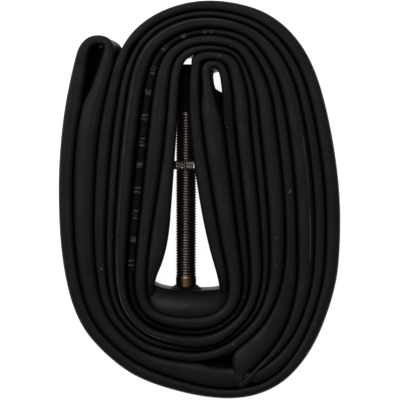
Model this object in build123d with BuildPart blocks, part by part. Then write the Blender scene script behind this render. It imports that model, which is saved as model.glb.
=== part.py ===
"""Road bicycle inner tube, flattened and wound into an oval hank, with its Presta valve.

The hank stands on the edges of its flattened strips: +Z is up, the floor is Z = 0.
+Y runs along the valve, from its rubber foot to its dust cap.
"""

import os
from math import radians, tan

from build123d import *

os.makedirs("parts", exist_ok=True)

# ---------------------------------------------------------------- driving dimensions (mm)
STRIP_HEIGHT = 27.0  # lay-flat width of the tube, which stands on edge
STRIP_THICKNESS = 1.8  # two walls pressed together
STRIP_CHAMFER = 0.5  # the folded edges are softened
VALVE_X = -4.1  # the valve's axis, between the two innermost strips
VALVE_Z = STRIP_HEIGHT / 2
BEND_SHARE = 0.45  # how much of a run one bend may use

STEM_R = 3.0  # valve stem, 6 mm thread
THREAD_PITCH = 0.8
THREAD_DEPTH = 0.35
THREAD_CREST = 0.2
STEM_BORE_R = 1.55
HEAD_R = 2.6  # the core's head, which carries the dust cap
CORE_R = 2.0  # the core's shank inside the stem
CORE_NOSE_R = 1.5
AIR_WAY_R = 1.05
PIN_R = 0.75
RUNNING_GAP = 0.03  # radial clearance of each turning or sliding fit

FOOT_FACE_Y = -26.5  # the foot's surface, where the collar begins
FOOT_HALF_HEIGHT = 10.0
FOOT_CLEARANCE = 0.05
FOOT_ROUNDING = 2.5
FOOT_CUT = 40.0  # larger than the foot
BOND_GAP = 0.02
COLLAR_TOP_Y = -24.8
COLLAR_BASE_R = 4.45
COLLAR_TOP_R = 3.25
FLANGE_BOTTOM_Y = -29.6  # brass flange moulded into the foot
FLANGE_R = 3.2
FLANGE_THICKNESS = 0.8
THREAD_START_Y = -23.1
STEM_TOP_Y = 25.6

CORE_BOTTOM_Y = 17.0
CORE_SEAT_Y = 18.0
GASKET_TOP_Y = 20.4
HEAD_TOP_Y = 33.6
FLATS_ACROSS = 4.4
FLAT_LENGTH = 3.0
GUIDE_LENGTH = 2.0
PIN_BOTTOM_Y = 14.8
PIN_TOP_Y = 38.2
UPSET_R = 0.95
UPSET_LENGTH = 0.5
SEAL_R = 1.3
SEAL_THICKNESS = 1.0
SEAL_GAP = 0.05
CUP_THICKNESS = 0.6
NUT_R = 2.0
NUT_THICKNESS = 1.8
NUT_GAP = 0.1
NUT_TEETH = 16

RING_BOTTOM_Y = 9.0
RING_THICKNESS = 2.5
RING_R = 4.3
RING_TEETH = 30
KNURL_WIDTH = 0.5
KNURL_DEPTH = 0.1

CAP_BOTTOM_Y = 25.8
CAP_SHOULDER_Y = 34.3
CAP_NECK_Y = 37.2
CAP_TOP_Y = 39.9
CAP_ROOF_Y = 38.9
CAP_R = 3.1
CAP_NECK_R = 2.75
CAP_TIP_R = 2.0
CAP_TIP_ROUNDING = 0.8
CAP_CAVITY_R = 2.25
CAP_ROOM = 0.3
CAP_RIBS = 18
CAP_RIB_R = 0.25
CAP_RIB_SINK = 0.05
CAP_HEM = 0.9

# ---------------------------------------------------------------- the winding
# Strips are counted from the valve outwards: 8 on the left, 10 on the right.
# A station is a line across the strips: (innermost strip, outermost strip).
LEFT_SHARE = (0, 0.14, 0.27, 0.395, 0.515, 0.635, 0.81, 1)
RIGHT_SHARE = (0, 0.13, 0.25, 0.35, 0.445, 0.545, 0.66, 0.78, 0.895, 1)
HEEL_SHARE = (0, 0.11, 0.2, 0.285, 0.37, 0.455, 0.6, 0.79, 0.905, 1)
FOOT_SHARE = {1: 0, 2: 0.12, 3: 0.235, 4: 0.34, 5: 0.445, 6: 0.55, 9: 0.885, 10: 1}

LEFT_STATIONS = (  # bottom to top
    ((-8.6, -32.6), (-15.4, -52.2)),
    ((-13.4, -30.4), (-25.6, -44.6)),
    ((-14.9, -25.0), (-34.0, -34.0)),
    ((-13.2, -14.0), (-38.4, -17.0)),
    ((-10.6, 4.0), (-39.1, 4.0)),
    ((-9.0, 22.0), (-37.3, 22.0)),
)
CROWN_LEFT_STATIONS = (  # strips 1 to 6 of the left side go on over the top
    ((-8.9, 36.5), (-22.6, 42.0)),
    ((-6.6, 42.6), (-14.4, 51.6)),
    ((0.6, 44.6), (-0.6, 56.6)),
)
CROWN_RIGHT_STATIONS = (  # and become strips 5 to 10 of the right side, outside strip 4
    ((8.9, 41.3), (14.6, 54.6)),
    ((11.2, 36.4), (24.4, 48.8)),
    ((12.7, 28.5), (31.2, 38.4)),
)
RIGHT_STATIONS = (  # top to bottom
    ((0.9, 22.0), (36.0, 22.0)),
    ((2.6, 4.0), (39.0, 3.0)),
    ((4.8, -12.0), (39.3, -13.0)),
    ((7.4, -24.6), (37.8, -26.0)),
    ((6.6, -30.4), (30.9, -43.2)),
)
FOOT_STATION = ((1.4, -32.9), (6.2, -57.6))
OUTER_HEEL = {9: (19.0, -52.8), 10: (20.8, -54.9)}  # the two strips below the pointed fold
INNER_FOLD = ((2.9, 35.6), (3.3, 39.3), (7.6, 39.2), (8.8, 33.0))  # right strip 2 into 3
ARCH = ((0.4, 36.5), (1.9, 42.4))  # right strip 1, over the inner fold, into 4
OUTER_FOLD = ((-27.6, 38.5), (-25.7, 46.8), (-32.8, 46.9), (-34.2, 36.5))  # left 7 into 8
POINTED_FOLD = ((12.3, -47.8), (10.5, -50.6), (12.9, -51.8))  # right 7 into 8
CROWN_SHIFT = 4  # left strip k is right strip k + 4 on the other side of the crown


def between(station, share):
    (x0, y0), (x1, y1) = station
    return (x0 + (x1 - x0) * share, y0 + (y1 - y0) * share)


def left_leg(rank):
    """Upwards on the left side."""
    return [between(station, LEFT_SHARE[rank - 1]) for station in LEFT_STATIONS]


def right_crown(rank):
    """From the top of the hank down to the right side, strips 4 to 10."""
    side = (RIGHT_SHARE[rank - 1] - RIGHT_SHARE[3]) / (1 - RIGHT_SHARE[3])
    top = (rank - 4) / 6
    shares = ((side + top) / 2, side, side)
    return [between(station, share) for station, share in zip(CROWN_RIGHT_STATIONS, shares)]


def crown(rank):
    """Over the top, from left strip rank to the right side."""
    return [between(s, (rank - 1) / 5) for s in CROWN_LEFT_STATIONS] + right_crown(rank + CROWN_SHIFT)


def right_leg(rank):
    """Downwards on the right side."""
    side, heel = RIGHT_SHARE[rank - 1], HEEL_SHARE[rank - 1]
    shares = (side, side, side, (side + heel) / 2, heel)
    return [between(station, share) for station, share in zip(RIGHT_STATIONS, shares)]


def foot(rank):
    """Under the valve, from right strip rank towards the left side."""
    heel = [OUTER_HEEL[rank]] if rank in OUTER_HEEL else []
    return heel + [between(FOOT_STATION, FOOT_SHARE[rank])]


def back(points):
    return list(reversed(points))


# One closed loop, walked from the valve's foot.
route = left_leg(1) + crown(1) + right_leg(5) + foot(5)
route += left_leg(5) + crown(5) + right_leg(9) + foot(9)
route += left_leg(7) + list(OUTER_FOLD) + back(left_leg(8))
route += back(foot(10)) + back(right_leg(10)) + back(crown(6)) + back(left_leg(6))
route += back(foot(6)) + back(right_leg(6)) + back(crown(2)) + back(left_leg(2))
route += back(foot(2)) + back(right_leg(2)) + list(INNER_FOLD) + right_leg(3) + foot(3)
route += left_leg(3) + crown(3) + right_leg(7) + list(POINTED_FOLD) + back(right_leg(8))
route += back(crown(4)) + back(left_leg(4)) + back(foot(4)) + back(right_leg(4))
route += back(right_crown(4)) + back(ARCH) + right_leg(1) + foot(1)


def bend_radius(index):
    """The largest arc that the two runs beside this corner leave room for."""
    here = Vector(*route[index])
    back_run = Vector(*route[index - 1]) - here
    next_run = Vector(*route[(index + 1) % len(route)]) - here
    turn = 180 - back_run.get_angle(next_run)
    return BEND_SHARE * min(back_run.length, next_run.length) / tan(radians(turn / 2))


bend_radii = [bend_radius(i) for i in range(len(route))]

with BuildPart() as tube:
    with BuildLine() as winding:
        path = FilletPolyline(*route, radius=bend_radii, close=True)
    with BuildSketch(Plane(origin=path @ 0 + Vector(0, 0, VALVE_Z), x_dir=(0, 0, 1), z_dir=path % 0)):
        section = Rectangle(STRIP_HEIGHT, STRIP_THICKNESS)
        chamfer(section.vertices(), length=STRIP_CHAMFER)
    sweep(path=path.moved(Location((0, 0, VALVE_Z))))
tube.part.label = "tube"

# ---------------------------------------------------------------- the valve
# Its pieces are turned about the valve's axis: profiles lie in the plane Z = VALVE_Z,
# with the radius along +X from the axis.
AXIS_ORIGIN = (VALVE_X, 0, VALVE_Z)
VALVE_PLANE = Plane(origin=AXIS_ORIGIN, x_dir=(1, 0, 0), z_dir=(0, 0, 1))
VALVE_AXIS = Axis(AXIS_ORIGIN, (0, 1, 0))


def across(y):
    """The plane square to the valve's axis at height y, facing its tip."""
    return Plane(origin=(VALVE_X, y, VALVE_Z), x_dir=(1, 0, 0), z_dir=(0, 1, 0))


# Rubber foot: a pad that fills the bend of the innermost strip, and a collar round the stem.
inner_bend = [route[-3], route[-2], route[-1], route[0], route[1], route[2]]
inner_bend_radii = [bend_radii[-2], bend_radii[-1], bend_radii[0], bend_radii[1]]
with BuildPart() as valve_foot:
    with BuildSketch(Plane.XY.offset(VALVE_Z - FOOT_HALF_HEIGHT)):
        with BuildLine():
            FilletPolyline(*inner_bend, radius=inner_bend_radii)
            Line(inner_bend[-1], inner_bend[0])
        make_face()
        offset(amount=-(STRIP_THICKNESS / 2 + FOOT_CLEARANCE), kind=Kind.INTERSECTION, mode=Mode.REPLACE)
        with Locations((VALVE_X, FOOT_FACE_Y)):
            Rectangle(FOOT_CUT, FOOT_CUT, align=(Align.CENTER, Align.MAX), mode=Mode.INTERSECT)
    extrude(amount=2 * FOOT_HALF_HEIGHT)
    face_edges = valve_foot.faces().sort_by(Axis.Y)[-1].edges().filter_by(Axis.X)
    fillet(face_edges, radius=FOOT_ROUNDING)
    with BuildSketch(VALVE_PLANE):
        Polygon(
            (0, FOOT_FACE_Y - 1), (COLLAR_BASE_R, FOOT_FACE_Y - 1), (COLLAR_BASE_R, FOOT_FACE_Y),
            (COLLAR_TOP_R, COLLAR_TOP_Y), (0, COLLAR_TOP_Y), align=None,
        )
    revolve(axis=VALVE_AXIS)
    with BuildSketch(VALVE_PLANE):
        Polygon(
            (0, FLANGE_BOTTOM_Y), (FLANGE_R + BOND_GAP, FLANGE_BOTTOM_Y),
            (FLANGE_R + BOND_GAP, FLANGE_BOTTOM_Y + FLANGE_THICKNESS),
            (STEM_R + BOND_GAP, FLANGE_BOTTOM_Y + FLANGE_THICKNESS),
            (STEM_R + BOND_GAP, COLLAR_TOP_Y), (0, COLLAR_TOP_Y), align=None,
        )
    revolve(axis=VALVE_AXIS, mode=Mode.SUBTRACT)
valve_foot.part.label = "valve_foot"

# Brass stem: a flange in the foot, a plain neck, then thread up to its top face.
thread_root = STEM_R - THREAD_DEPTH
thread_count = int((STEM_TOP_Y - THREAD_START_Y) / THREAD_PITCH)
flank = (THREAD_PITCH - THREAD_CREST) / 2
stem_outline = [
    (STEM_BORE_R, FLANGE_BOTTOM_Y), (FLANGE_R, FLANGE_BOTTOM_Y),
    (FLANGE_R, FLANGE_BOTTOM_Y + FLANGE_THICKNESS), (STEM_R, FLANGE_BOTTOM_Y + FLANGE_THICKNESS),
]
for turn in range(thread_count):
    groove = THREAD_START_Y + turn * THREAD_PITCH
    stem_outline += [(STEM_R, groove), (thread_root, groove + flank), (STEM_R, groove + 2 * flank)]
stem_outline += [
    (STEM_R, STEM_TOP_Y), (CORE_R + RUNNING_GAP, STEM_TOP_Y),
    (CORE_R + RUNNING_GAP, CORE_SEAT_Y), (STEM_BORE_R, CORE_SEAT_Y),
]
with BuildPart() as valve_stem:
    with BuildSketch(VALVE_PLANE):
        Polygon(*stem_outline, align=None)
    revolve(axis=VALVE_AXIS)
valve_stem.part.label = "valve_stem"

# Round nut on the stem, knurled round its rim.
with BuildPart() as lock_ring:
    with BuildSketch(across(RING_BOTTOM_Y)):
        Circle(RING_R)
        Circle(STEM_R + RUNNING_GAP, mode=Mode.SUBTRACT)
        with PolarLocations(RING_R + KNURL_DEPTH, RING_TEETH):
            Rectangle(KNURL_WIDTH, KNURL_WIDTH, rotation=45, mode=Mode.SUBTRACT)
    extrude(amount=RING_THICKNESS)
lock_ring.part.label = "lock_ring"

# Removable core: a shank in the stem, and a head with two spanner flats outside it.
with BuildPart() as core_body:
    with BuildSketch(VALVE_PLANE):
        Polygon(
            (AIR_WAY_R, CORE_BOTTOM_Y), (CORE_NOSE_R, CORE_BOTTOM_Y), (CORE_NOSE_R, GASKET_TOP_Y),
            (CORE_R, GASKET_TOP_Y), (CORE_R, STEM_TOP_Y), (HEAD_R, STEM_TOP_Y), (HEAD_R, HEAD_TOP_Y),
            (PIN_R + RUNNING_GAP, HEAD_TOP_Y), (PIN_R + RUNNING_GAP, HEAD_TOP_Y - GUIDE_LENGTH),
            (AIR_WAY_R, HEAD_TOP_Y - GUIDE_LENGTH), align=None,
        )
    revolve(axis=VALVE_AXIS)
    for side in (-1, 1):
        with Locations((VALVE_X + side * (FLATS_ACROSS / 2 + HEAD_R / 2), HEAD_TOP_Y - FLAT_LENGTH / 2, VALVE_Z)):
            Box(HEAD_R, FLAT_LENGTH, 2 * HEAD_R, mode=Mode.SUBTRACT)
core_body.part.label = "core_body"


def collar(inner_r, outer_r, bottom_y, top_y):
    """Half section of a plain ring on the valve's axis."""
    return Polygon((inner_r, bottom_y), (outer_r, bottom_y), (outer_r, top_y), (inner_r, top_y), align=None)


# Sealing ring between the core's shank and the stem.
with BuildPart() as core_gasket:
    with BuildSketch(VALVE_PLANE):
        collar(CORE_NOSE_R, CORE_R, CORE_SEAT_Y, GASKET_TOP_Y)
    revolve(axis=VALVE_AXIS)
core_gasket.part.label = "core_gasket"

# Pin through the core, with its end upset so that the thumb nut can't come off.
with BuildPart() as core_pin:
    with BuildSketch(VALVE_PLANE):
        collar(0, PIN_R, PIN_BOTTOM_Y, PIN_TOP_Y)
        collar(0, UPSET_R, PIN_TOP_Y - UPSET_LENGTH, PIN_TOP_Y)
    revolve(axis=VALVE_AXIS)
core_pin.part.label = "core_pin"

# Rubber seal on the pin, under the core's nose, and the brass cup that holds it.
seal_top = CORE_BOTTOM_Y - SEAL_GAP
seal_bottom = seal_top - SEAL_THICKNESS
with BuildPart() as pin_seal:
    with BuildSketch(VALVE_PLANE):
        collar(PIN_R, SEAL_R, seal_bottom, seal_top)
    revolve(axis=VALVE_AXIS)
pin_seal.part.label = "pin_seal"

with BuildPart() as seal_cup:
    with BuildSketch(VALVE_PLANE):
        collar(PIN_R, SEAL_R, seal_bottom - CUP_THICKNESS, seal_bottom)
    revolve(axis=VALVE_AXIS)
seal_cup.part.label = "seal_cup"

# Small knurled nut that locks the pin.
nut_bottom = HEAD_TOP_Y + NUT_GAP
with BuildPart() as thumb_nut:
    with BuildSketch(across(nut_bottom)):
        Circle(NUT_R)
        Circle(PIN_R + RUNNING_GAP, mode=Mode.SUBTRACT)
        with PolarLocations(NUT_R + KNURL_DEPTH / 2, NUT_TEETH):
            Rectangle(KNURL_WIDTH / 2, KNURL_WIDTH / 2, rotation=45, mode=Mode.SUBTRACT)
    extrude(amount=NUT_THICKNESS)
thumb_nut.part.label = "thumb_nut"

# Plastic dust cap, hollow, ribbed below its shoulder.
with BuildPart() as dust_cap:
    with BuildSketch(VALVE_PLANE):
        Polygon(
            (0, CAP_ROOF_Y), (UPSET_R + CAP_ROOM, CAP_ROOF_Y), (CAP_CAVITY_R, CAP_NECK_Y),
            (CAP_CAVITY_R, CAP_SHOULDER_Y), (HEAD_R + RUNNING_GAP, CAP_SHOULDER_Y),
            (HEAD_R + RUNNING_GAP, CAP_BOTTOM_Y), (CAP_R, CAP_BOTTOM_Y), (CAP_R, CAP_SHOULDER_Y),
            (CAP_NECK_R, CAP_NECK_Y), (CAP_TIP_R, CAP_TOP_Y), (0, CAP_TOP_Y), align=None,
        )
    revolve(axis=VALVE_AXIS)
    fillet(dust_cap.edges().filter_by(GeomType.CIRCLE).group_by(Axis.Y)[-1], radius=CAP_TIP_ROUNDING)
    with BuildSketch(across(CAP_BOTTOM_Y + CAP_HEM)):
        with PolarLocations(CAP_R - CAP_RIB_SINK, CAP_RIBS):
            Circle(CAP_RIB_R)
    extrude(amount=CAP_SHOULDER_Y - CAP_BOTTOM_Y - 2 * CAP_HEM)
dust_cap.part.label = "dust_cap"

pieces = (
    tube, valve_foot, valve_stem, lock_ring, core_body, core_gasket,
    core_pin, pin_seal, seal_cup, thumb_nut, dust_cap,
)
for piece in pieces:
    export_step(piece.part, f"parts/{piece.part.label}.step")

section_area = STRIP_HEIGHT * STRIP_THICKNESS - 2 * STRIP_CHAMFER**2
print(f"tube: {len(route)} bends, least radius {min(bend_radii):.2f} mm, {path.length:.0f} mm long")
print(f"tube: volume {tube.part.volume:.0f} mm3, section times length {section_area * path.length:.0f} mm3")
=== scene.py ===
"""Road bicycle inner tube, flattened and wound into an oval hank round its Presta valve.

The CAD frame holds every piece in place; this script gives them their looks. Everything is in
metres in the CAD's frame: +Z is up, the floor is Z = 0, +Y runs along the valve to its dust cap.
"""

import math
import random

import bmesh
import bpy
import numpy as np
from mathutils import Matrix, Vector, noise


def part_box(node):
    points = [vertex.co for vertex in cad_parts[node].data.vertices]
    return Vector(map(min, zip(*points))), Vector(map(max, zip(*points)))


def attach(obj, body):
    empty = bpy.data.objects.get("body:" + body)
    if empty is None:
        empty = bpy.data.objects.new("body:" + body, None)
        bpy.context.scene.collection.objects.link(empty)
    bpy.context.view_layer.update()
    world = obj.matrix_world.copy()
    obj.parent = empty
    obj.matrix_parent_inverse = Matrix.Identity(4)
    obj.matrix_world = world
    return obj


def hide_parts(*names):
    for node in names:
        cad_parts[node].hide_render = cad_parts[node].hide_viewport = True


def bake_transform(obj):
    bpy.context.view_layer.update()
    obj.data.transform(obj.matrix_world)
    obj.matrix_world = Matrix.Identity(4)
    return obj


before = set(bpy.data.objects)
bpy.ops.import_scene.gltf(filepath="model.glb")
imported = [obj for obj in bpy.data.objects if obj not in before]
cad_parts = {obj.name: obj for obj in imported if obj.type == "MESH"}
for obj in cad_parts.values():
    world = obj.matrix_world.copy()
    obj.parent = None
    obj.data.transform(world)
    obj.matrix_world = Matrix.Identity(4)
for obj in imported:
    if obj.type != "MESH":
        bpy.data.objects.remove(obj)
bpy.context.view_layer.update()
random.seed(7)

MM = 0.001
TURN = 2 * math.pi

# ---------------------------------------------------------------- sizes (mm, as in part.py)
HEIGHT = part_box("tube")[1].z / MM
WEB_HALF = 0.9  # the flattened tube between its two rounded edges
BEAD_ROUND = 1.9  # how far a strip's edge rounds down to its widest
BEAD_NECK = 5.5  # and from there down to the web
BEAD_SQUARENESS = 3.3
GROOVE = 0.12  # between the tops of two strips that touch
WEB_GROOVE = 0.02
LEAN_START = 17.8  # tops lean above this height, clear of the lock ring
REACH = 12.0  # how far a strip looks for its neighbour
WAVE = 0.22  # the strips' edges aren't quite even
WAVE_SCALE = 0.09
LEAST_TOP_HALF = 0.55
TOP_EVENING = 1.2  # widths are averaged along the strip over about this far
WEB_EVENING = 0.8
BEAD_STEPS = 7  # faces down the rounded edge
NECK_STEPS = 4
HEM_STEPS = 4  # and round the lower edge
SAMPLE_STEP = 1.3  # between two cross-sections
SAMPLE_BEND = math.radians(9)
SELF_CLEAR = 0.3  # a strip isn't its own neighbour

# ---------------------------------------------------------------- the winding
# Strips are counted from the valve outwards: 8 on the left, 10 on the right.
# A station is a line across the strips: (innermost strip, outermost strip).
LEFT_SHARE = (0, 0.14, 0.27, 0.395, 0.515, 0.635, 0.81, 1)
RIGHT_SHARE = (0, 0.13, 0.25, 0.35, 0.445, 0.545, 0.66, 0.78, 0.895, 1)
HEEL_SHARE = (0, 0.11, 0.2, 0.285, 0.37, 0.455, 0.6, 0.79, 0.905, 1)
FOOT_SHARE = {1: 0, 2: 0.12, 3: 0.235, 4: 0.34, 5: 0.445, 6: 0.55, 9: 0.885, 10: 1}
LEFT_STATIONS = (  # bottom to top
    ((-8.6, -32.6), (-15.4, -52.2)),
    ((-13.4, -30.4), (-25.6, -44.6)),
    ((-14.9, -25.0), (-34.0, -34.0)),
    ((-13.2, -14.0), (-38.4, -17.0)),
    ((-10.6, 4.0), (-39.1, 4.0)),
    ((-9.0, 22.0), (-37.3, 22.0)),
)
CROWN_LEFT_STATIONS = (  # strips 1 to 6 of the left side go on over the top
    ((-8.9, 36.5), (-22.6, 42.0)),
    ((-6.6, 42.6), (-14.4, 51.6)),
    ((0.6, 44.6), (-0.6, 56.6)),
)
CROWN_RIGHT_STATIONS = (  # and become strips 5 to 10 of the right side, outside strip 4
    ((8.9, 41.3), (14.6, 54.6)),
    ((11.2, 36.4), (24.4, 48.8)),
    ((12.7, 28.5), (31.2, 38.4)),
)
RIGHT_STATIONS = (  # top to bottom
    ((0.9, 22.0), (36.0, 22.0)),
    ((2.6, 4.0), (39.0, 3.0)),
    ((4.8, -12.0), (39.3, -13.0)),
    ((7.4, -24.6), (37.8, -26.0)),
    ((6.6, -30.4), (30.9, -43.2)),
)
FOOT_STATION = ((1.4, -32.9), (6.2, -57.6))
OUTER_HEEL = {9: (19.0, -52.8), 10: (20.8, -54.9)}  # the two strips below the pointed fold
INNER_FOLD = ((2.9, 35.6), (3.3, 39.3), (7.6, 39.2), (8.8, 33.0))  # right strip 2 into 3
ARCH = ((0.4, 36.5), (1.9, 42.4))  # right strip 1, over the inner fold, into 4
OUTER_FOLD = ((-27.6, 38.5), (-25.7, 46.8), (-32.8, 46.9), (-34.2, 36.5))  # left 7 into 8
POINTED_FOLD = ((12.3, -47.8), (10.5, -50.6), (12.9, -51.8))  # right 7 into 8
CROWN_SHIFT = 4  # left strip k is right strip k + 4 on the other side of the crown
CROWN_STRIPS = 6

# What shows of each strip from above: its width and how far its edge lies below the highest.
LEFT_WIDTH = (3.8, 4.5, 3.3, 4.3, 2.6, 3.6, 6.0, 4.2)
LEFT_DROP = (0.2, 0, 3.8, 0, 0.9, 0.4, 0, 0.3)
RIGHT_WIDTH = (3.7, 5.4, 3.2, 3.9, 2.7, 4.7, 3.5, 5.0, 3.4, 4.2)
RIGHT_DROP = (0.2, 0, 2.3, 0, 1.2, 0, 0.9, 0, 0.4, 0.3)
CROWN_WIDTH = (2.4, 2.9, 2.3, 3.9, 1.8, 2.4)
CROWN_DROP = (0.3, 0.2, 2.4, 0, 0.8, 0.2)
FOOT_WIDTH = {1: 2.0, 2: 4.2, 3: 1.8, 4: 4.6, 5: 0.8, 6: 2.5, 9: 6.8, 10: 3.0}
FOOT_DROP = {1: 7.0, 2: 0.3, 3: 1.8, 4: 0.3, 5: 3.2, 6: 0.6, 9: 0.4, 10: 0.6}
FOLD_WIDTH = 2.6
FOLD_DROP = 0.3
POINTED_FOLD_DROP = 0.1
ARCH_WIDTH = 2.6

# How far the tops lie from the CAD's line, at each station: (dx, dy) at the innermost strip, an
# extra dx halfway out, and (dx, dy) at the outermost strip.
LEFT_LEAN = (
    ((0, 0), -0.3, (0.6, 1.2)), ((-0.1, 0), -0.3, (0.5, 0.5)), ((0, 0), -0.35, (0.1, 0)),
    ((0.55, 0), -0.5, (0.35, 0)), ((0.7, 0), -0.4, (0.1, 0)), ((0.95, 0), -0.35, (-0.5, 0)),
)
CROWN_LEFT_LEAN = (((1.8, 0.3), -0.6, (-0.5, 0.3)), ((1.6, -0.6), 0, (-0.5, 0.5)), ((0, -0.4), 0, (0, 0.5)))
CROWN_RIGHT_LEAN = (((0, 0), 0, (-0.1, -0.2)), ((-0.2, 0), 0, (-0.3, -0.2)), ((-0.4, 0), 0.4, (-0.1, 0)))
RIGHT_LEAN = (
    ((-2.5, 0), 0.9, (-0.4, 0)), ((-1.45, 0), 0.2, (-0.6, 0)), ((-0.65, 0), -0.35, (-0.8, 0)),
    ((0, 0), -0.5, (-0.7, 0)), ((0, 0), -0.4, (-0.4, 0)),
)
FOOT_LEAN = {1: 0, 2: 0, 3: -0.1, 4: -0.45, 5: -0.2, 6: 0.5, 9: 2.4, 10: 0.9}  # towards +Y
FOLD_LEAN = (-1.2, 0)
ARCH_LEAN = (-2.3, 0)
OUTER_FOLD_TOPS = (((0.3, -0.6), 4.2), ((0.1, -0.6), 2.7), ((-0.4, -0.6), 2.8), ((-0.8, -0.5), 4.6))

# How far apart two neighbours may be and still close the space between them. Only the window round
# the valve and the inner fold stay open: both lie on the right of the winding as it is walked.
SEALED = 11.0
NARROWING = 3.2
OPEN = 0.0
INNER_FOLD_SEALS = (NARROWING, OPEN, OPEN, NARROWING)
ARCH_SEALS = (SEALED, 6.5)  # these two stay clear of the dust cap's tip
CROWN_SEAL = 4.0

# Tops spread to meet each other up to this distance: a share of their two widths, and some more.
TOUCH_SHARE = 0.6
TOUCH_MORE = 0.35
WIDE_GAP = 4.0  # wider gaps are wedges, filled a little beyond their middle
WIDE_GAP_FILL = 1.12

# The innermost strips' tops along the window: bottom to top on the left, top to bottom on the right.
# At the bottom they dive under the lump of the valve's foot.
WINDOW_LEFT = ((2.6, 7), (3.0, 3.6), (1.9, 0.4), (6.9, 0.2), (4.1, 0.2), (2.9, 0.2))  # width, drop
WINDOW_RIGHT = ((3.1, 0.2), (4.1, 0.2), (4.1, 0.2), (3.0, 0.4), (2.4, 4.5))
WINDOW_CROWN = ((2.6, 0.3),)

# Right strip 7 turns its flat side up on the way to the pointed fold, which it folds over strip 8.
HEEL_WIDTH = {7: (3.5, 3.5, 3.5, 5.2, 8.5), 8: (5.0, 5.0, 5.0, 4.2, 2.8)}
POINTED_FOLD_TOPS = (((0.0, 0.6), 9.5), ((1.0, -2.4), 4.0), ((0.4, -0.3), 2.2))  # lean, width


def between(station, share):
    """The point at that share of the way from the station's first point to its second."""
    (x0, y0), (x1, y1) = station
    return (x0 + (x1 - x0) * share, y0 + (y1 - y0) * share)


def lean_at(lean, share):
    inner, halfway, outer = lean
    dx, dy = between((inner, outer), share)
    return (dx + 4 * halfway * share * (1 - share), dy)


def row(point, lean, width, drop, seal=SEALED, seam=0, mark=0):
    """One control point of the winding: its web, its top's centre, and what its top looks like."""
    return (point[0], point[1], point[0] + lean[0], point[1] + lean[1], width, drop, seal, seam, mark)


SEAM_LEFT = (4,)  # the strips that show the tube's mould seam
SEAM_RIGHT = (8,)
MARKED_LEFT = (3,)  # the strips that show worn printing


def leg(stations, leans, shares, width, drop, **more):
    """The control points of one strip over a row of stations."""
    return [
        row(between(station, share), lean_at(lean, share), width, drop, **more)
        for station, lean, share in zip(stations, leans, shares)
    ]


def beside_window(rows, tops, seal=OPEN):
    """The same rows with these widths and drops, and an open right side."""
    return [r[:4] + (width, drop, seal) + r[7:] for r, (width, drop) in zip(rows, tops)]


def left_leg(rank):
    """Upwards on the left side."""
    shares = (LEFT_SHARE[rank - 1],) * len(LEFT_STATIONS)
    width, drop = LEFT_WIDTH[rank - 1], LEFT_DROP[rank - 1]
    traces = {"seam": rank in SEAM_LEFT, "mark": rank in MARKED_LEFT}
    rows = leg(LEFT_STATIONS, LEFT_LEAN, shares, width, drop, **traces)
    rows[:3] = [r[:-1] + (0,) for r in rows[:3]]  # the marks have gone from the lower part
    return beside_window(rows, WINDOW_LEFT) if rank == 1 else rows


def right_crown(rank):
    """From the top of the hank down to the right side, strips 4 to 10."""
    first = RIGHT_SHARE[CROWN_SHIFT - 1]
    side = (RIGHT_SHARE[rank - 1] - first) / (1 - first)
    top = (rank - CROWN_SHIFT) / CROWN_STRIPS
    shares = ((side + top) / 2, side, side)
    width, drop = RIGHT_WIDTH[rank - 1], RIGHT_DROP[rank - 1]
    return leg(CROWN_RIGHT_STATIONS, CROWN_RIGHT_LEAN, shares, width, drop, seam=rank in SEAM_RIGHT)


def crown(rank):
    """Over the top, from left strip rank to the right side."""
    shares = ((rank - 1) / (CROWN_STRIPS - 1),) * len(CROWN_LEFT_STATIONS)
    width, drop = CROWN_WIDTH[rank - 1], CROWN_DROP[rank - 1]
    traces = {"seam": rank in SEAM_LEFT, "mark": rank in MARKED_LEFT}
    left = leg(CROWN_LEFT_STATIONS, CROWN_LEFT_LEAN, shares, width, drop, **traces)
    if rank == 1:
        left[:1] = beside_window(left[:1], WINDOW_CROWN, CROWN_SEAL)
    return left + right_crown(rank + CROWN_SHIFT)


def right_leg(rank):
    """Downwards on the right side."""
    side, heel = RIGHT_SHARE[rank - 1], HEEL_SHARE[rank - 1]
    shares = (side, side, side, (side + heel) / 2, heel)
    width, drop = RIGHT_WIDTH[rank - 1], RIGHT_DROP[rank - 1]
    rows = leg(RIGHT_STATIONS, RIGHT_LEAN, shares, width, drop, seam=rank in SEAM_RIGHT)
    rows[3:] = [r[:7] + (0,) + r[8:] for r in rows[3:]]  # the seam turns under at the bottom
    if rank in HEEL_WIDTH:
        rows = [r[:4] + (width,) + r[5:] for r, width in zip(rows, HEEL_WIDTH[rank])]
    return beside_window(rows, WINDOW_RIGHT) if rank == 1 else rows


def foot(rank):
    """Under the valve, from right strip rank towards the left side."""
    points = [OUTER_HEEL[rank]] if rank in OUTER_HEEL else []
    points.append(between(FOOT_STATION, FOOT_SHARE[rank]))
    lean = (0, FOOT_LEAN[rank])
    return [row(p, lean, FOOT_WIDTH[rank], FOOT_DROP[rank]) for p in points]


def fold(points, lean, width, seals):
    return [row(p, lean, width, FOLD_DROP, seal) for p, seal in zip(points, seals)]


def outer_fold():
    return [row(p, lean, width, FOLD_DROP) for p, (lean, width) in zip(OUTER_FOLD, OUTER_FOLD_TOPS)]


def pointed_fold():
    tops = zip(POINTED_FOLD, POINTED_FOLD_TOPS)
    return [row(p, lean, width, POINTED_FOLD_DROP) for p, (lean, width) in tops]


def back(rows):
    return list(reversed(rows))


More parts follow.
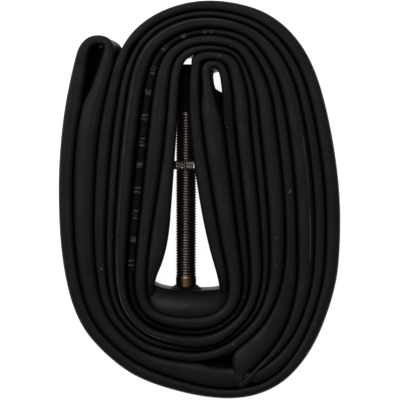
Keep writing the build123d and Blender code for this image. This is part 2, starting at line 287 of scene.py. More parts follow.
def winding():
    """The control points of the closed loop, walked from the valve's foot."""
    rows = left_leg(1) + crown(1) + right_leg(5) + foot(5)
    rows += left_leg(5) + crown(5) + right_leg(9) + foot(9)
    rows += left_leg(7) + outer_fold() + back(left_leg(8))
    rows += back(foot(10)) + back(right_leg(10)) + back(crown(6)) + back(left_leg(6))
    rows += back(foot(6)) + back(right_leg(6)) + back(crown(2)) + back(left_leg(2))
    rows += back(foot(2)) + back(right_leg(2))
    rows += fold(INNER_FOLD, FOLD_LEAN, FOLD_WIDTH, INNER_FOLD_SEALS)
    rows += right_leg(3) + foot(3) + left_leg(3) + crown(3) + right_leg(7)
    rows += pointed_fold() + back(right_leg(8)) + back(crown(4)) + back(left_leg(4))
    rows += back(foot(4)) + back(right_leg(4)) + back(right_crown(4))
    rows += fold(back(ARCH), ARCH_LEAN, ARCH_WIDTH, ARCH_SEALS)
    rows += right_leg(1) + foot(1)
    return np.array(rows, float)


def smooth_loop(rows, step, bend):
    """A closed quadratic spline with rows as its control points: no step is longer, in the first
    two columns, than step, and none turns by more than bend."""
    samples = []
    for i, here in enumerate(rows):
        before = (rows[i - 1] + here) / 2
        after = (here + rows[(i + 1) % len(rows)]) / 2
        way_in, way_out = (here - before)[:2], (after - here)[:2]
        length = np.linalg.norm(way_in) + np.linalg.norm(way_out)
        cosine = way_in @ way_out / (np.linalg.norm(way_in) * np.linalg.norm(way_out))
        turn = math.acos(max(-1, min(1, cosine)))
        count = max(2, math.ceil(length / step), math.ceil(turn / bend))
        for k in range(count):
            t = k / count
            samples.append(before * (1 - t) ** 2 + here * 2 * t * (1 - t) + after * t ** 2)
    return np.array(samples)


def left_normals(line):
    """Unit normals to the left of a closed line."""
    along = np.roll(line, -1, axis=0) - np.roll(line, 1, axis=0)
    along /= np.linalg.norm(along, axis=1)[:, None]
    return np.stack([-along[:, 1], along[:, 0]], axis=1)


def neighbours(line, direction, reach):
    """For each point of the line, how far away the line is in that direction, and at which point."""
    count = len(line)
    start, run = line, np.roll(line, -1, axis=0) - line
    distance = np.full(count, np.inf)
    index = np.zeros(count, int)
    for i in range(count):
        offset = start - line[i]
        cross = direction[i, 0] * run[:, 1] - direction[i, 1] * run[:, 0]
        cross = np.where(np.abs(cross) < 1e-9, 1e-9, cross)
        away = (offset[:, 0] * run[:, 1] - offset[:, 1] * run[:, 0]) / cross
        share = (offset[:, 0] * direction[i, 1] - offset[:, 1] * direction[i, 0]) / cross
        hit = (share >= 0) & (share < 1) & (away > SELF_CLEAR) & (away < reach)
        hit[[i - 2, i - 1, i, (i + 1) % count]] = False
        if hit.any():
            away = np.where(hit, away, np.inf)
            index[i] = int(away.argmin())
            distance[i] = away[index[i]]
    return distance, index


def evened(values, line, width):
    """Values averaged along the closed line, with a bell curve of that width."""
    lengths = np.linalg.norm(np.roll(line, -1, axis=0) - line, axis=1)
    place = np.concatenate([[0], np.cumsum(lengths)[:-1]])
    total = lengths.sum()
    apart = np.abs(place[:, None] - place[None, :])
    apart = np.minimum(apart, total - apart)
    weight = np.exp(-0.5 * (apart / width) ** 2) * lengths[None, :]
    return weight @ values / weight.sum(axis=1)


def bell(angle_sine, power):
    return np.abs(angle_sine) ** (2 / power)


class Hank:
    """The flattened tube's surface, one cross-section at each sample of the winding."""

    def __init__(self):
        samples = smooth_loop(winding(), SAMPLE_STEP, SAMPLE_BEND)
        self.web, self.top = samples[:, 0:2], samples[:, 2:4]
        self.width, drop, self.seal, self.seam, self.mark = samples[:, 4:9].T
        self.normal = left_normals(self.web)
        self.left, self.right = self.top_half(+1), self.top_half(-1)
        self.web_left, self.web_right = self.web_half(+1), self.web_half(-1)
        places = zip(self.top, self.width)
        wave = [noise.noise(Vector((x * WAVE_SCALE, y * WAVE_SCALE, w))) for (x, y), w in places]
        self.crest = HEIGHT - drop + WAVE * (np.array(wave) - 1)

    def shared(self, line, side):
        """How far away the neighbour on that side is, how much of the way is this strip's, and how
        wide the two are together."""
        distance, index = neighbours(line, side * self.normal, REACH)
        both = self.width + self.width[index]
        return distance, distance * self.width / both, both

    def closing(self, side):
        return self.seal if side < 0 else np.full_like(self.seal, SEALED)

    def top_half(self, side):
        """From the top's centre to the groove on that side."""
        distance, share, both = self.shared(self.top, side)
        touching = distance < np.minimum(TOUCH_SHARE * both + TOUCH_MORE, self.closing(side))
        half = np.where(touching, share - GROOVE / 2, np.minimum(self.width / 2, share - GROOVE / 2))
        return evened(np.maximum(half, LEAST_TOP_HALF), self.web, TOP_EVENING)

    def web_half(self, side):
        """The same lower down, where the strip is a thin web unless its neighbours press on it."""
        distance, share, _ = self.shared(self.web, side)
        share = np.where(distance > WIDE_GAP, share * WIDE_GAP_FILL, share)
        half = np.where(distance < self.closing(side), share - WEB_GROOVE / 2, WEB_HALF)
        return evened(np.maximum(half, WEB_HALF), self.web, WEB_EVENING)

    def place(self, offset, height):
        """Points at an offset to the left of the strip's middle line, at a height (arrays)."""
        rise = np.clip((height - LEAN_START) / (self.crest - BEAD_ROUND - LEAN_START), 0, 1)
        rise = (rise * rise * (3 - 2 * rise))[:, None]
        middle = self.web * (1 - rise) + self.top * rise
        flat = middle + self.normal * offset[:, None]
        return np.column_stack([flat, height]) * MM

    def side(self, half, web, sign):
        """One side of the cross-section, from the crest down to the floor."""
        rings = []
        for k in range(1, BEAD_STEPS + 1):
            angle = math.radians(90) * k / BEAD_STEPS
            across = half * bell(math.sin(angle), BEAD_SQUARENESS)
            down = BEAD_ROUND * (1 - bell(math.cos(angle), BEAD_SQUARENESS))
            rings.append(self.place(sign * across, self.crest - down))
        for k in range(1, NECK_STEPS + 1):
            share = k / NECK_STEPS
            ease = share * share * (3 - 2 * share)
            across = half + (web - half) * ease
            rings.append(self.place(sign * across, self.crest - BEAD_ROUND - BEAD_NECK * share))
        level = np.ones_like(half)
        rings.append(self.place(sign * web, level * (BEAD_ROUND + BEAD_NECK)))
        for k in range(HEM_STEPS + 1):
            angle = math.radians(90) * k / HEM_STEPS
            across = web * bell(math.cos(angle), BEAD_SQUARENESS)
            down = 1 - bell(math.sin(angle), BEAD_SQUARENESS)
            rings.append(self.place(sign * across, level * BEAD_ROUND * down))
        return rings

    def rings(self):
        crest = self.place(np.zeros_like(self.left), self.crest)
        left = self.side(self.left, self.web_left, +1)
        right = self.side(self.right, self.web_right, -1)
        return [crest] + left + back(right[:-1])

    def along(self, places, share):
        """Points on the tops at whole and part sample indices."""
        return [self.surface(int(p), share).lerp(self.surface(int(p) + 1, share), p % 1) for p in places]

    def nearest(self, x, y):
        return int(np.argmin(np.hypot(self.top[:, 0] - x, self.top[:, 1] - y)))

    def surface(self, index, share):
        """A point on the top of strip sample index, share from -1 (right groove) to 1 (left)."""
        index %= len(self.web)
        half = self.left[index] if share > 0 else self.right[index]
        angle = math.asin(min(1, abs(share) ** (BEAD_SQUARENESS / 2)))
        drop = BEAD_ROUND * (1 - bell(math.cos(angle), BEAD_SQUARENESS))
        flat = self.top[index] + self.normal[index] * half * share
        return Vector((*flat, self.crest[index] - drop)) * MM


# ---------------------------------------------------------------- mesh helpers
def new_object(name, vertices, faces, smooth=True):
    mesh = bpy.data.meshes.new(name)
    mesh.from_pydata([tuple(v) for v in vertices], [], faces)
    mesh.validate()
    bm = bmesh.new()
    bm.from_mesh(mesh)
    bmesh.ops.recalc_face_normals(bm, faces=bm.faces)
    bm.to_mesh(mesh)
    bm.free()
    for polygon in mesh.polygons:
        polygon.use_smooth = smooth
    piece = bpy.data.objects.new(name, mesh)
    bpy.context.scene.collection.objects.link(piece)
    return piece


def joined_rings(rings, closed_along):
    """Vertices and faces of a skin over rings of equal length."""
    count, around = len(rings), len(rings[0])
    vertices = [p for ring in rings for p in ring]
    faces = []
    for i in range(count if closed_along else count - 1):
        here, there = i * around, (i + 1) % count * around
        for j in range(around):
            k = (j + 1) % around
            faces.append((here + j, here + k, there + k, there + j))
    return vertices, faces


stem_low, stem_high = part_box("valve_stem")
VALVE_X = (stem_low.x + stem_high.x) / 2
VALVE_Z = (stem_low.z + stem_high.z) / 2
STEM_R = 3.0


def turned(outline, count, radius_at=None):
    """Rings about the valve's axis for a closed outline of (radius, y) in millimetres."""
    rings = []
    for radius, y in outline:
        ring = []
        for k in range(count):
            angle = TURN * k / count
            r = radius_at(radius, y, angle) if radius_at else radius
            ring.append((VALVE_X + r * MM * math.cos(angle), y * MM, VALVE_Z + r * MM * math.sin(angle)))
        rings.append(ring)
    return rings


# ---------------------------------------------------------------- materials
def material(name, **values):
    """A node material, with the values that are the same all over set on the shader's own sockets."""
    made = bpy.data.materials.new(name)
    made.use_nodes = True
    shader = made.node_tree.nodes["Principled BSDF"]
    for socket, value in values.items():
        shader.inputs[socket.replace("_", " ")].default_value = value
    return made


class Nodes:
    """Short ways to add the nodes that the materials use."""

    def __init__(self, made):
        self.tree = made.node_tree
        self.shader = self.tree.nodes["Principled BSDF"]
        self.place = self.add("ShaderNodeTexCoord").outputs["Object"]

    def add(self, kind, **settings):
        node = self.tree.nodes.new(kind)
        for key, value in settings.items():
            setattr(node, key, value)
        return node

    def link(self, source, target):
        self.tree.links.new(source, target)

    def noise(self, scale, detail=4, stretch=None):
        node = self.add("ShaderNodeTexNoise")
        node.inputs["Scale"].default_value = scale
        node.inputs["Detail"].default_value = detail
        where = self.place
        if stretch:
            mapping = self.add("ShaderNodeMapping")
            mapping.inputs["Scale"].default_value = stretch
            self.link(where, mapping.inputs["Vector"])
            where = mapping.outputs["Vector"]
        self.link(where, node.inputs["Vector"])
        return node.outputs["Fac"]

    def ramp(self, source, stops):
        node = self.add("ShaderNodeValToRGB")
        ramp = node.color_ramp
        while len(ramp.elements) < len(stops):
            ramp.elements.new(0.5)
        for element, (position, colour) in zip(ramp.elements, stops):
            element.position = position
            element.color = (*colour, 1)
        self.link(source, node.inputs["Fac"])
        return node.outputs["Color"]

    def span(self, source, low, high, to_low=0, to_high=1):
        node = self.add("ShaderNodeMapRange")
        for socket, value in (("From Min", low), ("From Max", high), ("To Min", to_low), ("To Max", to_high)):
            node.inputs[socket].default_value = value
        self.link(source, node.inputs["Value"])
        return node.outputs["Result"]

    def blend(self, share, first, second):
        node = self.add("ShaderNodeMix", data_type="RGBA")
        self.link(share, node.inputs["Factor"])
        for socket, value in ((node.inputs[6], first), (node.inputs[7], second)):
            if isinstance(value, tuple):
                socket.default_value = (*value, 1)
            else:
                self.link(value, socket)
        return node.outputs[2]

    def bump(self, height, distance, strength):
        node = self.add("ShaderNodeBump")
        node.inputs["Distance"].default_value = distance
        node.inputs["Strength"].default_value = strength
        self.link(height, node.inputs["Height"])
        self.link(node.outputs["Normal"], self.shader.inputs["Normal"])

    def split(self):
        node = self.add("ShaderNodeSeparateXYZ")
        self.link(self.place, node.inputs["Vector"])
        return node.outputs

    def polish(self, low, high, dull, shiny):
        """More polished with height (mm), where hands and packaging rub."""
        amount = self.span(self.split()["Z"], low * MM, high * MM, dull, shiny)
        self.link(amount, self.shader.inputs["Specular IOR Level"])

    def from_valve_axis(self):
        """The distance from the valve's axis."""
        flat = self.add("ShaderNodeCombineXYZ")
        axes = self.split()
        self.link(axes["X"], flat.inputs["X"])
        self.link(axes["Z"], flat.inputs["Z"])
        node = self.add("ShaderNodeVectorMath", operation="DISTANCE")
        self.link(flat.outputs["Vector"], node.inputs[0])
        node.inputs[1].default_value = (VALVE_X, 0, VALVE_Z)
        return node.outputs["Value"]

    def colour(self, source):
        self.link(source, self.shader.inputs["Base Color"])

    def roughness(self, source):
        self.link(source, self.shader.inputs["Roughness"])


def tube_rubber():
    """Black butyl with a trace of talc, finely streaked along its length."""
    made = material("tube_rubber")
    nodes = Nodes(made)
    base = nodes.ramp(nodes.noise(90, 3), ((0.3, (0.006, 0.006, 0.007)), (0.7, (0.008, 0.008, 0.0112))))
    dust = nodes.span(nodes.noise(900, 2), 0.66, 0.8, 0, 0.35)
    patch = nodes.span(nodes.noise(45, 2), 0.5, 0.75)
    amount = nodes.add("ShaderNodeMath", operation="MULTIPLY")
    nodes.link(dust, amount.inputs[0])
    nodes.link(patch, amount.inputs[1])
    nodes.colour(nodes.blend(amount.outputs[0], base, (0.05, 0.052, 0.055)))
    nodes.roughness(nodes.span(nodes.noise(160, 4), 0.3, 0.7, 0.42, 0.58))
    nodes.polish(HEIGHT - 4, HEIGHT - 1, 0.16, 0.37)
    nodes.place = nodes.add("ShaderNodeTexCoord").outputs["UV"]
    nodes.bump(nodes.noise(1, 3, stretch=(3, 25, 1)), 0.00012, 0.5)
    return made


def seam_rubber_painted_glint():
    """The seam's ridge, polished where it rubs, with a painted highlight: the bluish-white patches in its
    colour stand in for a glint along it.
    """
    made = material("seam_rubber_painted_glint", Specular_IOR_Level=0.9)
    nodes = Nodes(made)
    # painted highlight: the ramp's light bluish stop is a glint painted into the seam's colour
    nodes.colour(nodes.ramp(nodes.noise(60, 2), ((0.42, (0.008, 0.008, 0.01)), (0.56, (0.08, 0.1, 0.135)))))
    nodes.roughness(nodes.span(nodes.noise(300, 3), 0.3, 0.7, 0.3, 0.5))
    return made


def moulded_rubber():
    """The foot's rubber, dull at the collar and more polished towards the bend."""
    made = material("foot_rubber")
    nodes = Nodes(made)
    shine = nodes.span(nodes.split()["Y"], -0.0268, -0.0312, 0.1, 0.6)
    nodes.link(shine, nodes.shader.inputs["Specular IOR Level"])
    nodes.colour(nodes.ramp(nodes.noise(200, 3), ((0.3, (0.006, 0.006, 0.006)), (0.7, (0.01, 0.011, 0.011)))))
    nodes.roughness(nodes.span(nodes.noise(500, 3), 0.3, 0.7, 0.45, 0.6))
    nodes.bump(nodes.noise(2200, 2), 0.00004, 0.5)
    return made


def stem_brass():
    """Brass, darkened in the roots of the thread and bare at the neck."""
    made = material("stem_brass", Metallic=1.0)
    nodes = Nodes(made)
    crest = nodes.ramp(nodes.noise(300, 2), ((0.3, (0.40, 0.33, 0.30)), (0.7, (0.50, 0.40, 0.36))))
    depth = nodes.span(nodes.from_valve_axis(), (STEM_R - 0.3) * MM, (STEM_R - 0.06) * MM)
    tarnish = nodes.blend(depth, (0.11, 0.08, 0.07), crest)
    neck = nodes.span(nodes.split()["Y"], -0.0222, -0.0232)
    nodes.colour(nodes.blend(neck, tarnish, (0.35, 0.23, 0.11)))
    nodes.roughness(nodes.span(nodes.noise(900, 3), 0.3, 0.7, 0.27, 0.36))
    nodes.bump(nodes.noise(4000, 2), 0.000005, 0.4)
    return made


def core_brass():
    made = material("core_brass", Metallic=1.0)
    nodes = Nodes(made)
    nodes.colour(nodes.ramp(nodes.noise(700, 3), ((0.3, (0.55, 0.38, 0.17)), (0.7, (0.72, 0.52, 0.26)))))
    nodes.roughness(nodes.span(nodes.noise(1500, 3), 0.3, 0.7, 0.22, 0.38))
    nodes.bump(nodes.noise(5000, 2, stretch=(0.1, 1, 0.1)), 0.00001, 0.4)
    return made


def plated_brass():
    made = material("plated_brass", Metallic=1.0)
    nodes = Nodes(made)
    nodes.colour(nodes.ramp(nodes.noise(800, 3), ((0.3, (0.46, 0.42, 0.38)), (0.7, (0.56, 0.52, 0.47)))))
    nodes.roughness(nodes.span(nodes.noise(1200, 3), 0.3, 0.7, 0.2, 0.36))
    nodes.bump(nodes.noise(5000, 2), 0.00001, 0.4)
    return made


def cap_plastic():
    made = material("cap_plastic", Specular_IOR_Level=0.12)
    nodes = Nodes(made)
    nodes.colour(nodes.ramp(nodes.noise(300, 3), ((0.3, (0.006, 0.006, 0.006)), (0.7, (0.01, 0.01, 0.01)))))
    nodes.roughness(nodes.span(nodes.noise(600, 3), 0.3, 0.7, 0.45, 0.6))
    nodes.bump(nodes.noise(3000, 2), 0.00002, 0.4)
    return made


def seal_rubber():
    made = material("seal_rubber", Specular_IOR_Level=0.4)
    nodes = Nodes(made)
    nodes.colour(nodes.ramp(nodes.noise(400, 3), ((0.3, (0.015, 0.015, 0.015)), (0.7, (0.03, 0.03, 0.03)))))
    nodes.roughness(nodes.span(nodes.noise(800, 3), 0.3, 0.7, 0.4, 0.6))
    return made


def talc():
    made = material("talc", Roughness=0.9)
    nodes = Nodes(made)
    nodes.colour(nodes.ramp(nodes.noise(3000, 3), ((0.35, (0.08, 0.08, 0.08)), (0.7, (0.3, 0.3, 0.29)))))
    return made


def worn_print():
    """Faint printing, rubbed away in patches."""
    made = material("worn_print", Roughness=0.7, Specular_IOR_Level=0.2)
    nodes = Nodes(made)
    worn = nodes.span(nodes.noise(1100, 4), 0.4, 0.6)
    nodes.colour(nodes.blend(worn, (0.04, 0.05, 0.05), (0.17, 0.21, 0.205)))
    return made


# ---------------------------------------------------------------- the tube
def make_tube(hank):
    vertices, faces = joined_rings(hank.rings(), closed_along=True)
    piece = new_object("tube_skin", vertices, faces)
    count = len(hank.web)
    length = np.cumsum(np.linalg.norm(np.roll(hank.web, -1, axis=0) - hank.web, axis=1))
    layer = piece.data.uv_layers.new(name="along_and_across")
    for polygon in piece.data.polygons:
        samples = [v % count for v in polygon.vertices]
        wraps = max(samples) - min(samples) > 1
        for loop, vertex, sample in zip(polygon.loop_indices, polygon.vertices, samples):
            u = length[sample] + (length[-1] if wraps and sample == 0 else 0)
            layer.data[loop].uv = (u / 100, vertex // count / 10)
    piece.data.materials.append(RUBBER)
    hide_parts("tube")
    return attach(piece, "hank")


SEAM_SHARE = -0.5  # where the seam runs on a strip's edge
SEAM_HALF = 0.2
SEAM_RISE = 0.14
SEAM_FADE = 12  # samples over which it rises at its ends
SEAM_SINK = 0.02
SEAM_FOOT = 0.15  # how deep its edges lie in the rubber
SEAM_RIDGE = 0.4  # share of its width


def seam_runs(hank):
    """The stretches of the winding that show the seam, as lists of sample indices."""
    shown = hank.seam > 0.5
    runs, run = [], []
    for i, on in enumerate(shown):
        if on:
            run.append(i)
        elif run:
            runs.append(run)
            run = []
    return runs + ([run] if run else [])


def make_seam(hank):
    """The mould seam: a fine raised line along the strip's edge."""
    vertices, faces = [], []
    for run in seam_runs(hank):
        rings = []
        for k, i in enumerate(run):
            fade = min(1, k / SEAM_FADE, (len(run) - 1 - k) / SEAM_FADE)
            middle = hank.surface(i, SEAM_SHARE)
            aside = Vector((*hank.normal[i], 0)) * SEAM_HALF * MM
            ridge = aside * SEAM_RIDGE
            up = Vector((0, 0, (SEAM_RISE * fade - SEAM_SINK) * MM))
            under = Vector((0, 0, -SEAM_FOOT * MM))
            left, right = middle - aside + under, middle + aside + under
            rings.append((left, middle - ridge + up, middle + ridge + up, right))
        more_vertices, more_faces = joined_rings(rings, closed_along=False)
        start = len(vertices)
        vertices += more_vertices
        faces += [tuple(start + v for v in face) for face in more_faces]
        last = start + len(more_vertices)
        faces += [(start, start + 1, start + 2, start + 3), (last - 4, last - 3, last - 2, last - 1)]
    piece = new_object("mould_seam", vertices, faces)
    # the seam's material carries a painted highlight in its colour
    piece.data.materials.append(SEAM_PAINTED_GLINT)
    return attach(piece, "hank")


# ---------------------------------------------------------------- the valve's foot
PAD_OUTLINE = (  # the lump that the bonded foot makes in the innermost bend
    (-4.1, -25.8), (1.0, -26.1), (4.6, -25.9), (6.6, -25.3), (8.3, -24.4),
    (9.4, -28.2), (6.6, -33.0), (1.8, -34.6), (-2.9, -34.9), (-8.9, -34.3),
    (-14.0, -32.4), (-16.3, -27.8), (-14.6, -23.4), (-12.2, -25.0), (-8.7, -25.8),
)
PAD_CENTRE = (-4.2, -30.0)
PAD_TOP = 26.9
PAD_CROWN = 3.6  # how far it domes above its straight side
PAD_RIM = 10  # the higher, the sharper the rim
PAD_RIDGE = (-4.2, -31.3)
PAD_REACH = (15.0, 5.6)  # how far the dome goes on either side of its ridge
PAD_WAIST = 0.9  # at mid-height, of the outline
PAD_STEP = 0.9
PAD_BEND = math.radians(15)
PAD_SPREADS = (1, 0.985, 0.95, 0.9, 0.82, 0.72, 0.6, 0.46, 0.32, 0.18, 0.06)


def pad_height(flat, spread):
    """The pad's upper side, above its straight side: a round rim and a smooth dome."""
    away = (flat - PAD_RIDGE) / PAD_REACH
    return PAD_CROWN * math.sqrt(1 - spread ** PAD_RIM) * np.exp(-(away ** 2).sum(axis=1))


def make_foot_pad():
    """The swollen bend of the tube round the valve's foot."""
    outline = smooth_loop(np.array(PAD_OUTLINE), PAD_STEP, PAD_BEND) - PAD_CENTRE
    middle = VALVE_Z / MM
    edge = PAD_TOP - middle - PAD_CROWN
    rings = []
    for side, spreads in ((-1, back(PAD_SPREADS)), (0, (PAD_WAIST,)), (1, PAD_SPREADS)):
        for spread in spreads:
            flat = outline * spread + PAD_CENTRE
            height = middle + side * (edge + pad_height(flat, spread))
            rings.append(np.column_stack([flat, height]) * MM)
    vertices, faces = joined_rings(rings, closed_along=False)
    around = len(outline)
    faces += [tuple(range(around)), tuple(range(len(vertices) - around, len(vertices)))]
    piece = new_object("foot_pad", vertices, faces)
    piece.data.materials.append(FOOT)
    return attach(piece, "hank")


COLLAR_OUTLINE = (  # (radius, y) in millimetres
    (3.02, -24.9), (3.35, -24.95), (3.5, -25.1), (3.6, -25.25), (3.85, -25.4), (4.2, -25.7), (4.7, -26.1),
    (5.0, -26.6), (5.1, -27.4), (4.6, -28.2), (3.02, -28.2),
)


COLLAR_SCOOP = 0.5
COLLAR_LIP = (-25.6, 0.6)  # where the scooped lip begins, and over how much it sets in
COLLAR_POINTS = 48


def collar_scoop(y, height):
    """How much lower the collar's lip lies towards the top and the bottom."""
    start, length = COLLAR_LIP
    lip = min(1, max(0, (y - start) / length))
    return COLLAR_SCOOP * lip * min(1, (height / STEM_R) ** 2)


def make_collar():
    """The rubber collar round the stem, baked in place; it does not bend when the valve is tilted."""
    vertices, faces = joined_rings(turned(COLLAR_OUTLINE, COLLAR_POINTS), closed_along=True)
    vertices = [(x, y - collar_scoop(y / MM, (z - VALVE_Z) / MM) * MM, z) for x, y, z in vertices]
    piece = new_object("valve_collar", vertices, faces)
    piece.data.materials.append(FOOT)
    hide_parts("valve_foot")
    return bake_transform(piece)


# ---------------------------------------------------------------- the valve
THREAD_PITCH = 0.8
THREAD_DEPTH = 0.36
THREAD_CREST = 0.2  # share of the pitch
THREAD_START_Y = -22.9
ROWS_PER_PITCH = 6
STEM_BORE_R = 1.55
CORE_BORE_R = 2.03
CORE_SEAT_Y = 18.0
FLANGE_THICKNESS = 0.8
NECK_Y = -26.0
STEM_POINTS = 40


def thread_radius(radius, y, angle):
    """The helical thread, cut into the plain stem."""
    top = stem_high.y / MM
    if radius != STEM_R or y < THREAD_START_Y - THREAD_PITCH:
        return radius
    phase = ((y - THREAD_START_Y) / THREAD_PITCH - angle / TURN) % 1
    slope = abs(2 * phase - 1)
    depth = min(1, max(0, (1 - slope) / (1 - THREAD_CREST)))
    fade = min(1, max(0, (y - THREAD_START_Y) / THREAD_PITCH), max(0.25, (top - y) / THREAD_PITCH))
    return radius - THREAD_DEPTH * (1 - depth) * fade


def make_stem():
    """The stem: flange, neck, thread, and the bore that holds the core."""
    low, high = stem_low.y / MM, stem_high.y / MM
    flange = (stem_high.z - stem_low.z) / 2 / MM
    rows = int((high - THREAD_START_Y) / THREAD_PITCH * ROWS_PER_PITCH)
    shoulder = low + FLANGE_THICKNESS
    outline = [(flange, low), (flange, shoulder), (STEM_R, shoulder), (STEM_R, low + 0.9)]
    outline += [(STEM_R, NECK_Y), (STEM_R, THREAD_START_Y - 0.1), (STEM_R, THREAD_START_Y)]
    outline += [(STEM_R, THREAD_START_Y + (high - THREAD_START_Y) * k / rows) for k in range(1, rows + 1)]
    outline += [(CORE_BORE_R, high), (CORE_BORE_R, CORE_SEAT_Y)]
    outline += [(STEM_BORE_R, CORE_SEAT_Y), (STEM_BORE_R, low)]
    vertices, faces = joined_rings(turned(outline, STEM_POINTS, thread_radius), closed_along=True)
    piece = new_object("threaded_stem", vertices, faces)
    piece.data.materials.append(BRASS)
    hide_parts("valve_stem")
    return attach(piece, "valve")


RING_TEETH = 36
RING_CUT = 0.34
RING_TWIST = 0.45  # teeth, from the ring's lower face to its upper one
POINTS_PER_TOOTH = 6
RING_RUNNING_GAP = 0.03
RING_BEVEL = 0.3  # along the axis
RING_BEVEL_R = 0.35
RING_FACE_R = 0.9  # the flat of each face starts this far in from the rim
KNURL_R = 0.5  # only what lies this near the rim is cut


def make_lock_ring():
    """The knurled nut: slanted teeth round its rim, which is bevelled at both faces."""
    (_, low, _), (_, high, top_z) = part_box("lock_ring")
    low, high, outer = low / MM, high / MM, (top_z - VALVE_Z) / MM

    def knurl(radius, y, angle):
        if radius < outer - KNURL_R:
            return radius
        phase = (angle / TURN * RING_TEETH + RING_TWIST * (y - low) / (high - low)) % 1
        return radius - RING_CUT * abs(2 * phase - 1)

    face = (STEM_R + RING_RUNNING_GAP, outer - RING_FACE_R, outer - RING_BEVEL_R)
    outline = [(radius, low) for radius in face]
    outline += [(outer, low + RING_BEVEL + (high - low - 2 * RING_BEVEL) * k / 6) for k in range(7)]
    outline += [(radius, high) for radius in back(face)]
    rings = turned(outline, RING_TEETH * POINTS_PER_TOOTH, knurl)
    vertices, faces = joined_rings(rings, closed_along=True)
    piece = new_object("knurled_ring", vertices, faces, smooth=False)
    piece.data.materials.append(PLATED)
    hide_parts("lock_ring")
    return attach(piece, "ring")


def finish_cad_nodes():
    """Materials for the CAD nodes that show as they are."""
    finishes = {
        "core_body": CORE, "core_pin": CORE, "seal_cup": CORE, "thumb_nut": CORE,
        "core_gasket": SEAL, "pin_seal": SEAL, "dust_cap": CAP,
    }
    for name, finish in finishes.items():
        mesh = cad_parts[name].data
        mesh.materials.clear()
        mesh.materials.append(finish)


# ---------------------------------------------------------------- small traces
SMEARS = (  # larger traces of talc: x, y, half width, length to width, direction
    (25.1, 2.0, 0.22, 3.6, 1.1), (-28.9, -19.5, 0.25, 1.5, 0.6), (5.0, 42.1, 0.2, 1.5, 0.2),
    (24.2, -10.5, 0.13, 2.5, 1.5), (24.6, 31.0, 0.13, 1.6, 1.3), (24.0, -19.0, 0.12, 2.0, 1.5),
    (5.8, -35.5, 0.16, 1.4, 0.5), (9.4, -33.0, 0.15, 1.5, 0.8), (14.6, -40.3, 0.16, 2.2, 1.0),
    (10.6, -44.0, 0.18, 2.6, 1.1), (13.2, -28.0, 0.15, 1.6, 0.7), (-17.4, -11.0, 0.13, 2.0, 1.4),
)
SPECKS = 46
SPECK_SIZE = (0.05, 0.16)  # radius
SPECK_FLATNESS = 0.5
SMEAR_FLATNESS = 0.3


def make_specks(hank):
    """Grains of talc left on the strips."""
    vertices, faces = [], []
    for _ in range(SPECKS):
        centre = hank.surface(random.randrange(len(hank.web)), random.uniform(-0.8, 0.8))
        size = random.uniform(*SPECK_SIZE) * MM
        grain = bmesh.new()
        bmesh.ops.create_icosphere(grain, subdivisions=1, radius=size)
        spin = Matrix.Rotation(random.uniform(0, TURN), 3, "Z")
        long = random.uniform(1, 2.2)
        start = len(vertices)
        for vertex in grain.verts:
            jitter = Vector([random.uniform(0.75, 1.2) for _ in range(3)])
            along, across, up = vertex.co
            shape = Vector((along * long * jitter.x, across * jitter.y, up * SPECK_FLATNESS * jitter.z))
            vertices.append(centre + spin @ shape)
        faces += [tuple(start + v.index for v in face.verts) for face in grain.faces]
        grain.free()
    for x, y, size, long, turn in SMEARS:
        centre = hank.surface(hank.nearest(x, y), 0.1)
        start = len(vertices)
        grain = bmesh.new()
        bmesh.ops.create_icosphere(grain, subdivisions=2, radius=size * MM)
        spin = Matrix.Rotation(turn, 3, "Z")
        for vertex in grain.verts:
            rough = 1 + 0.3 * noise.noise(vertex.co / MM * 3)
            along, across, up = vertex.co
            shape = Vector((along * long * rough, across * rough, up * SMEAR_FLATNESS))
            vertices.append(centre + spin @ shape)
        faces += [tuple(start + v.index for v in face.verts) for face in grain.faces]
        grain.free()
    piece = new_object("talc_specks", vertices, faces, smooth=False)
    piece.data.materials.append(TALC)
    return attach(piece, "hank")


MARK_SPACING = 7.1
MARK_RISE = 0.03
MARK_START = 2.0  # mm along the strip
MARK_CELLS = 3  # each bar's faces along and across
MARKS = (  # the bars of each worn mark: (from, to) along in mm, then across as shares
    ((0.0, 0.6, -0.6, 0.6), (1.2, 1.8, -0.6, 0.6)),
    ((0.0, 1.5, -0.6, 0.5),),
    ((0.0, 0.5, -0.6, 0.4), (1.0, 1.5, -0.4, 0.6), (2.0, 2.4, -0.6, 0.4)),
)


def make_marks(hank):
    """What rubbing has left of the printing: plain bars across one strip."""
    shown = [i for i, on in enumerate(hank.mark) if on > 0.5]
    steps = np.linalg.norm(np.roll(hank.top, -1, axis=0) - hank.top, axis=1)
    vertices, faces, travelled, due, count = [], [], 0, MARK_START, 0
    for i in shown:
        travelled += steps[i]
        if travelled < due:
            continue
        due += MARK_SPACING * random.uniform(0.9, 1.1)
        for start, end, low, high in MARKS[count % len(MARKS)]:
            parts = range(MARK_CELLS + 1)
            places = [i + (start + (end - start) * k / MARK_CELLS) / steps[i] for k in parts]
            shares = [low + (high - low) * k / MARK_CELLS for k in parts]
            first = len(vertices)
            for share in shares:
                shift = random.uniform(-0.1, 0.1)
                for point in hank.along([p + shift for p in places], share):
                    vertices.append(point + Vector((0, 0, MARK_RISE * MM)))
            for a in range(MARK_CELLS):
                for b in range(MARK_CELLS):
                    corner = first + a * len(parts) + b
                    above = corner + len(parts)
                    faces.append((corner, corner + 1, above + 1, above))
        count += 1
    piece = new_object("worn_marks", vertices, faces)
    piece.data.materials.append(PRINT)
    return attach(piece, "hank")


# ---------------------------------------------------------------- the studio
CAMERA_HEIGHT = 0.6
VIEW_WIDTH = 0.1178  # what the camera sees across, at the valve's height
SENSOR_WIDTH = 36
FLOOR_HALF = 1.5


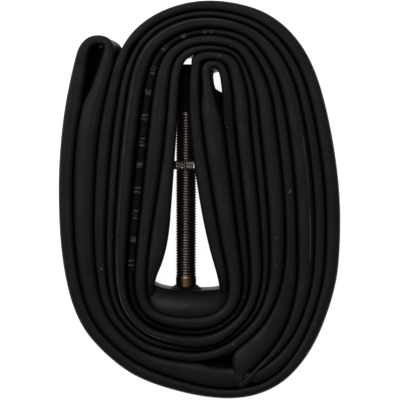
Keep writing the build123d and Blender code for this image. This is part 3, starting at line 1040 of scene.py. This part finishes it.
def make_studio():
    """A pale floor, two soft lights and a little light from all round."""
    signs = ((-1, -1), (1, -1), (1, 1), (-1, 1))
    corners = [(x * FLOOR_HALF, y * FLOOR_HALF, 0) for x, y in signs]
    floor = new_object("floor", corners, [(0, 1, 2, 3)])
    glow = {"Emission_Color": (1, 1, 1, 1), "Emission_Strength": 0.95}
    floor.data.materials.append(material("floor_paper", Base_Color=(0.9, 0.9, 0.9, 1), Roughness=0.9, **glow))

    world = bpy.data.worlds.new("studio")
    bpy.context.scene.world = world
    world.use_nodes = True
    background = world.node_tree.nodes["Background"]
    background.inputs["Color"].default_value = (1, 1, 1, 1)
    background.inputs["Strength"].default_value = 0.1

    for name, place, size, power in (
        ("overhead", (-0.15, 0.32, 0.7), 0.5, 1.4),
        ("left_fill", (-0.55, 0.35, 0.4), 0.4, 0.5),
    ):
        light = bpy.data.lights.new(name, "AREA")
        light.size = size
        light.energy = power
        lamp = bpy.data.objects.new(name, light)
        lamp.location = place
        lamp.rotation_euler = (-Vector(place)).to_track_quat("-Z", "Y").to_euler()
        bpy.context.scene.collection.objects.link(lamp)


def make_camera():
    """Straight above the hank."""
    data = bpy.data.cameras.new("camera")
    data.sensor_width = SENSOR_WIDTH
    data.lens = SENSOR_WIDTH * CAMERA_HEIGHT / VIEW_WIDTH
    camera = bpy.data.objects.new("camera", data)
    camera.location = (0, 0, VALVE_Z + CAMERA_HEIGHT)
    bpy.context.scene.collection.objects.link(camera)
    bpy.context.scene.camera = camera


RUBBER, FOOT, BRASS, CORE = tube_rubber(), moulded_rubber(), stem_brass(), core_brass()
PLATED, CAP, SEAL, TALC = plated_brass(), cap_plastic(), seal_rubber(), talc()
# the seam's material has a painted highlight in its colour
SEAM_PAINTED_GLINT, PRINT = seam_rubber_painted_glint(), worn_print()

make_camera()
hank = Hank()
make_tube(hank)
make_seam(hank)
make_foot_pad()
make_collar()
make_stem()
make_lock_ring()
make_specks(hank)
make_marks(hank)
finish_cad_nodes()
make_studio()
bpy.context.scene.view_settings.view_transform = "Standard"

bpy.context.view_layer.update()
